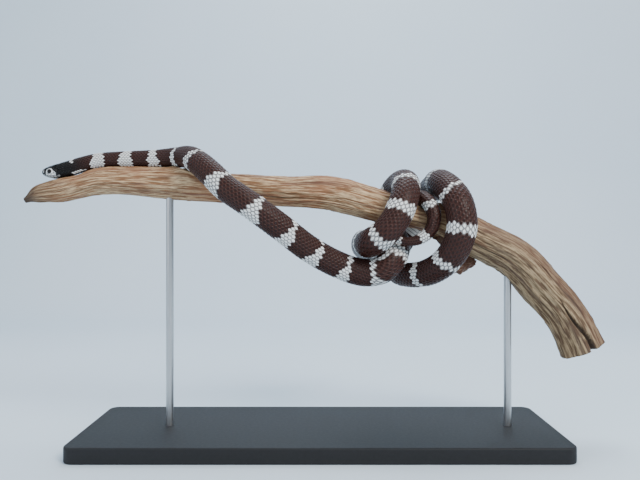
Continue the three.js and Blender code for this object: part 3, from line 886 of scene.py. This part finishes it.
def wood_material():
    made, start, shader = new_material("driftwood")
    grain = start.node("ShaderNodeAttribute", out="Vector", attribute_name="grain")
    along = start.attribute("along")
    end = start.attribute("end")
    hollow = start.attribute("hollow")
    stretched = grain.scaled((0.08, 1.0, 1.0))
    long_lines = stretched.noise(0.85, 7.0)
    fibre = stretched.noise(2.6, 4.0)
    patches = grain.noise(0.035, 4.0)
    streaked = grain.scaled((0.035, 1.0, 1.0))
    streaks = streaked.noise(0.42, 5.0)
    tan = long_lines.step(0.40, 0.60).mix(colour(0.225, 0.105, 0.042), colour(0.63, 0.44, 0.25))
    tan = (fibre.step(0.50, 0.60) * 0.6).mix(tan, colour(0.13, 0.055, 0.026))
    tan = (patches.step(0.50, 0.62) * 0.45).mix(tan, colour(0.28, 0.11, 0.045))
    tan = (streaks.step(0.54, 0.63) * 0.7).mix(tan, colour(0.115, 0.044, 0.028))
    grey = long_lines.step(0.40, 0.60).mix(colour(0.082, 0.048, 0.024), colour(0.31, 0.225, 0.125))
    grey = (fibre.step(0.52, 0.62) * 0.5).mix(grey, colour(0.06, 0.034, 0.019))
    height = start.node("ShaderNodeSeparateXYZ", {0: grain}, out="Z")
    weathered = height.step(3.0, 9.0) * (streaks * 1.6).clipped()
    grey = (weathered * 0.8).mix(grey, colour(0.105, 0.046, 0.027))
    grey = (streaks.step(0.55, 0.64) * 0.6).mix(grey, colour(0.055, 0.030, 0.020))
    wood = (along.step(0.60, 0.76) * 0.85).mix(tan, grey)
    tip = 1.0 - along.step(0.0, 0.10)
    wood = (tip * 0.9).mix(wood, colour(0.030, 0.016, 0.009))
    red = (start.attribute("red") * (fibre * 0.7 + 0.45)).clipped()
    wood = red.mix(wood, colour(0.095, 0.024, 0.012))
    wood = (hollow * 0.9).clipped().mix(wood, colour(0.055, 0.03, 0.018))
    rings = start.node("ShaderNodeTexWave", {0: grain, 1: 0.32, 2: 1.2}, out="Fac", wave_type="RINGS")
    sawn = rings.mix(colour(0.36, 0.25, 0.15), colour(0.52, 0.40, 0.26))
    ridges = bumped(fibre * 0.6 + long_lines * 0.4, 0.55, 0.0006)
    feed(shader, {"Base Color": end.mix(wood, sawn), "Roughness": fibre * 0.2 + 0.62, "Normal": ridges})
    return made


def limb_noise(rng, rows, columns, knots_along, knots_round):
    """Smooth random values on a grid that closes round the limb."""
    coarse = rng.uniform(-1, 1, (knots_along, knots_round))
    i = np.linspace(0, knots_along - 1.001, rows)
    j = np.linspace(0, knots_round, columns, endpoint=True) % knots_round
    i0, j0 = i.astype(int), j.astype(int)
    fi, fj = i - i0, j - j0
    fi, fj = fi * fi * (3 - 2 * fi), fj * fj * (3 - 2 * fj)
    i1, j1 = np.minimum(i0 + 1, knots_along - 1), (j0 + 1) % knots_round
    j0 = j0 % knots_round
    top = coarse[i0][:, j0] * (1 - fj) + coarse[i0][:, j1] * fj
    low = coarse[i1][:, j0] * (1 - fj) + coarse[i1][:, j1] * fj
    return top * (1 - fi[:, None]) + low * fi[:, None]


def snake_gap(points):
    """How far points are from the snake, in mm, below zero inside it."""
    step = slice(None, None, 20)
    centre, half = snake.centre[step], snake.size[0][step]
    gap = np.empty(len(points))
    for part in np.array_split(np.arange(len(points)), max(1, len(points) // 3000)):
        far = np.linalg.norm(points[part, None, :] - centre[None], axis=2) - half[None]
        gap[part] = far.min(axis=1)
    return gap


def clear_of_snake(points, outward):
    """Moves points of the limb inward until they are outside the snake."""
    moved = points.copy()
    deep = np.flatnonzero(snake_gap(moved) < 0.1)
    for _ in range(16):
        if not len(deep):
            break
        moved[deep] -= outward[deep] * 0.4
        deep = deep[snake_gap(moved[deep]) < 0.1]
    return moved


def build_side_limb(rng, wood):
    angle = np.linspace(0, 2 * math.pi, 61)
    for name, (way, radii, lumps) in SIDE_LIMB.items():
        way = centripetal(np.array(way, dtype=float), 16)
        steps = len(way)
        radii = np.interp(np.linspace(0, 1, steps), [0, 0.25, 0.5, 0.75, 1], radii)
        tangent = unit(np.gradient(way, axis=0))
        side = unit(np.cross(tangent, [0, 0, 1.0]))
        up = np.cross(side, tangent)
        bumps = 0.94 + lumps * limb_noise(rng, steps, 61, 9, 7)
        bumps = bumps + 0.07 * limb_noise(rng, steps, 61, 22, 20)
        out = side[:, None, :] * np.sin(angle)[:, None] + up[:, None, :] * np.cos(angle)[:, None]
        body = way[:, None, :] + out * (radii[:, None] * bumps)[..., None]
        body = clear_of_snake(body.reshape(-1, 3), out.reshape(-1, 3)).reshape(body.shape)
        first = [way[0] + (body[0] - way[0]) * keep for keep in (0.01, 0.5, 0.8)]
        final = [way[-1] + (body[-1] - way[-1]) * keep for keep in (0.8, 0.5, 0.2, 0.01)]
        body = np.concatenate([first, body, final])
        shape = body.shape[:2]
        far = np.repeat(np.arange(shape[0])[:, None] * 0.9, 61, axis=1)
        broken = np.repeat([0.0] * (steps + len(first)) + [0.3] * len(final), 61).reshape(shape)
        around = np.broadcast_to(angle, shape)
        marks = {
            "grain": np.stack([far, 5 * np.sin(around), 5 * np.cos(around)], axis=-1),
            "along": np.full(shape, 0.3),
            "end": broken,
            "hollow": np.full(shape, 0.3),
            "red": np.ones(shape),
        }
        uv = np.stack([far / 100, around / 7], axis=-1)
        stub = tube_object(name, body * MM, wood, uv, marks)
        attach(stub, "root")


def build_wood():
    rng = np.random.default_rng(12)
    table = np.array(WOOD, dtype=float)
    line = centripetal(np.column_stack([table[:, 0], np.zeros(len(table)), table[:, 1]]), 14)
    rows = len(line)
    columns = 201
    t = np.linspace(0, 1, rows)
    knots = np.linspace(0, 1, len(table))
    high, deep = (smoothed(np.interp(t, knots, table[:, k]), 9) for k in (2, 3))
    tangent = unit(np.gradient(line, axis=0))
    up = np.column_stack([-tangent[:, 2], np.zeros(rows), tangent[:, 0]])
    side = np.cross(tangent, up)
    angle = np.linspace(0, 2 * math.pi, columns)
    x = line[:, :1]
    flute = 1 + 0.025 * np.sin(3 * angle + 0.02 * x) + 0.015 * np.sin(5 * angle - 0.035 * x)
    turn = np.degrees(angle)[None, :]
    # How strong each layer of unevenness is, and how many knots it has along the limb and round it
    layers = [(0.55, 26, 34), (0.35, 60, 70), (0.5, 18, 9), (0.22, 44, 100)]
    rough = sum(strong * limb_noise(rng, rows, columns, *count) for strong, *count in layers)
    hollow = np.zeros((rows, columns))
    for first, last, middle, width, depth in CHECKS:
        drift = middle + 5 * np.sin(9 * t + middle)[:, None]
        off = np.abs((turn - drift + 180) % 360 - 180) * math.pi / 180 * deep[:, None]
        ends = np.sin(math.pi * np.clip((t - first) / (last - first), 0, 1))[:, None] ** 0.5
        hollow = np.maximum(hollow, depth * ends * np.exp(-((off / np.maximum(width * ends, 0.05)) ** 2)))
    opening = np.clip((t - SPLIT["start"]) / (1 - SPLIT["start"]), 0, 1)[:, None]
    off = np.abs(turn - SPLIT["turn"] - 9 * np.sin(5 * opening)) * math.pi / 180 * deep[:, None]
    wide = np.maximum(SPLIT["width"] * opening**0.7, 0.05)
    hollow = np.maximum(hollow, SPLIT["depth"] * opening**0.6 * smoothstep(1.0, 0.55, off / wide))
    lift = (rough - 0.35 - hollow) * np.minimum(1, high / 6)[:, None]
    # The top is raised under the head, the neck and the arch, so that the snake rests on it
    under_neck = 2.2 * smoothstep(-196, -180, x) * smoothstep(-94, -108, x)
    under_head = 4.2 * np.exp(-(((x + 206) / 17) ** 2))
    under_arch = 4.6 * np.exp(-(((x + 106) / 15) ** 2))
    lift = lift + np.maximum(under_neck, under_head) * np.clip(np.cos(angle), 0, 1)
    lift = lift + under_arch * np.clip(np.cos(angle - 0.75), 0, 1) ** 2
    side, up = side[:, None, :], up[:, None, :]
    ring = side * (deep[:, None] * flute * np.sin(angle))[..., None]
    ring = ring + up * (high[:, None] * flute * np.cos(angle))[..., None]
    outward = side * (np.sin(angle) / deep[:, None])[..., None]
    outward = unit(outward + up * (np.cos(angle) / high[:, None])[..., None])
    points = line[:, None, :] + ring + outward * lift[..., None]
    cleared = clear_of_snake(points.reshape(-1, 3), outward.reshape(-1, 3)).reshape(points.shape)

    # The sawn end is rings that shrink to the middle, with the marks of the saw
    caps = 9
    shrink = 1 - np.arange(1, caps + 1) / caps
    face = []
    for k, keep in enumerate(shrink, start=1):
        saw = 0.12 * np.sin(26 * angle + 3 * k)[:, None] * tangent[-1]
        face.append(line[-1] + (cleared[-1] - line[-1]) * max(keep, 0.004) + saw * (keep > 0.05))
    full = np.concatenate([cleared, face])

    def by_row(body, sawn):
        """A grid with one value a row: body's along the limb, and sawn over the sawn end."""
        return np.repeat(np.append(body, np.full(caps, sawn))[:, None], columns, axis=1)

    far = by_row(run_along(line), run_along(line)[-1])
    end = by_row(np.zeros(rows), 1.0)
    radius = GRAIN_RADIUS * np.append(np.ones(rows), shrink)[:, None]
    lay = np.concatenate([tangent, np.tile(tangent[-1], (caps, 1))])[:, None]
    cut_hollow = np.clip(hollow[-1] / 2, 0, 1) * shrink[:, None]
    bare = snake_gap(full.reshape(-1, 3)) > BARE_GAP
    marks = {
        "grain": np.stack([far, np.sin(angle) * radius, np.cos(angle) * radius], axis=-1),
        "along": by_row(t, 1.0),
        "end": end,
        "hollow": np.concatenate([np.clip(hollow, 0, 1), cut_hollow]),
        "red": np.zeros(end.shape),
        "bare": bare.reshape(end.shape) * (end < 0.5),
        "lay": np.repeat(lay, columns, axis=1),
    }
    uv = np.stack([far / 700, np.broadcast_to(angle * GRAIN_RADIUS / 100, far.shape)], axis=-1)
    wood = wood_material()
    limb = tube_object("perch_wood", full * MM, wood, uv, marks)
    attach(limb, "root")
    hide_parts("perch_branch")
    build_side_limb(rng, wood)
    return limb, wood


limb, wood = build_wood()


# Raised fibres of the driftwood
# Slivers of the weathered surface that have lifted along the grain, scattered over the bare wood.
FIBRE_DENSITY = 21000.0
FIBRE_SEED = 3


def sliver_mesh():
    """One lens-shaped sliver, its length along X and its free face up."""
    steps = np.linspace(-1, 1, 7)
    half = 0.26 * np.sqrt(np.clip(1 - steps**2, 0.0004, 1))
    points = []
    for x, w in zip(steps, half):
        arch = 0.22 * (1 - x * x)
        for y, z in [(-w, -0.12), (-0.5 * w, arch), (0.5 * w, arch), (w, -0.12)]:
            points.append((2.2 * x, y, z))
    ring = np.arange(4)
    after = (ring + 1) % 4
    rows = [k * 4 + np.stack([ring, 4 + ring, 4 + after, after], axis=1) for k in range(len(steps) - 1)]
    ends = np.array([[0, 1, 2, 3], [27, 26, 25, 24]])
    return mesh_object("sliver", np.array(points) * MM, [np.concatenate(rows), ends], wood)


def build_fibres():
    sliver = sliver_mesh()
    tree = bpy.data.node_groups.new("raised_fibres", "GeometryNodeTree")
    face = tree.interface
    face.new_socket("Limb", in_out="INPUT", socket_type="NodeSocketGeometry")
    density = face.new_socket("Fibres per square metre", in_out="INPUT", socket_type="NodeSocketFloat")
    seed = face.new_socket("Seed", in_out="INPUT", socket_type="NodeSocketInt")
    face.new_socket("Fibres", in_out="OUTPUT", socket_type="NodeSocketGeometry")

    start = Wire(tree)
    mesh, density_in, seed_in = (
        start.node("NodeGroupInput", out=name) for name in ("Limb", "Fibres per square metre", "Seed")
    )
    bare = start.node("GeometryNodeInputNamedAttribute", {"Name": "bare"}, data_type="FLOAT")
    here = start.node("FunctionNodeCompare", {0: bare, 1: 0.5}, data_type="FLOAT", operation="GREATER_THAN")
    spread = start.node(
        "GeometryNodeDistributePointsOnFaces",
        {"Mesh": mesh, "Selection": here, "Density": density_in, "Seed": seed_in},
        out="Points", distribute_method="RANDOM",
    )
    normal = Wire(tree, spread.socket.node.outputs["Normal"])
    lay = start.node("GeometryNodeInputNamedAttribute", {"Name": "lay"}, data_type="FLOAT_VECTOR")
    out = start.node("FunctionNodeAlignRotationToVector", {"Vector": normal}, axis="Z")
    turned = start.node(
        "FunctionNodeAlignRotationToVector", {"Rotation": out, "Vector": lay}, axis="X", pivot_axis="Z"
    )
    grow = start.node("FunctionNodeRandomValue", {2: 0.45, 3: 1.25, "Seed": 5}, out=1, data_type="FLOAT")
    shape = start.node("GeometryNodeObjectInfo", {"Object": sliver}, out="Geometry")
    placed = start.node(
        "GeometryNodeInstanceOnPoints",
        {"Points": spread, "Instance": shape, "Rotation": turned, "Scale": grow},
    )
    real = start.node("GeometryNodeRealizeInstances", {0: placed})
    dressed = start.node("GeometryNodeSetMaterial", {"Geometry": real, "Material": wood})
    feed(tree.nodes.new("NodeGroupOutput"), {0: dressed})

    host = limb.copy()
    host.data = limb.data.copy()
    bpy.context.scene.collection.objects.link(host)
    modifier = host.modifiers.new("raised_fibres", "NODES")
    modifier.node_group = tree
    modifier[density.identifier] = FIBRE_DENSITY
    modifier[seed.identifier] = FIBRE_SEED
    bpy.context.view_layer.update()
    evaluated = host.evaluated_get(bpy.context.evaluated_depsgraph_get())
    mesh = bpy.data.meshes.new_from_object(evaluated)
    bpy.data.objects.remove(host)
    bpy.data.objects.remove(sliver)
    mesh.name = "wood_fibres"
    fibres = new_object("wood_fibres", mesh)
    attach(fibres, "root")


build_fibres()


# Display stand
# A flat base of painted wood, sprayed satin black, with two brushed steel rods that enter the limb.
def finish_stand():
    paint, start, shader = new_material("stand_paint")
    where = start.place()
    speck = where.noise(420.0, 2.0)
    feed(shader, {
        "Base Color": speck.mix(colour(0.010, 0.010, 0.011), colour(0.018, 0.018, 0.020)),
        "Roughness": speck * 0.15 + 0.52,
        "Specular IOR Level": 0.28,
        "Normal": bumped(speck, 0.15, 0.0001),
    })

    steel, start, shader = new_material("stand_rod")
    where = start.place()
    drawn = where.scaled((1.0, 1.0, 0.03))
    lines = drawn.noise(3000.0, 2.0)
    grey = lines.mix(colour(0.42, 0.43, 0.44), colour(0.60, 0.61, 0.62))
    feed(shader, {"Base Color": grey, "Roughness": lines * 0.2 + 0.22, "Metallic": 1.0})
    for name, material in [("stand_base", paint), ("stand_rod_left", steel), ("stand_rod_right", steel)]:
        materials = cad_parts[name].data.materials
        materials.clear()
        materials.append(material)


finish_stand()
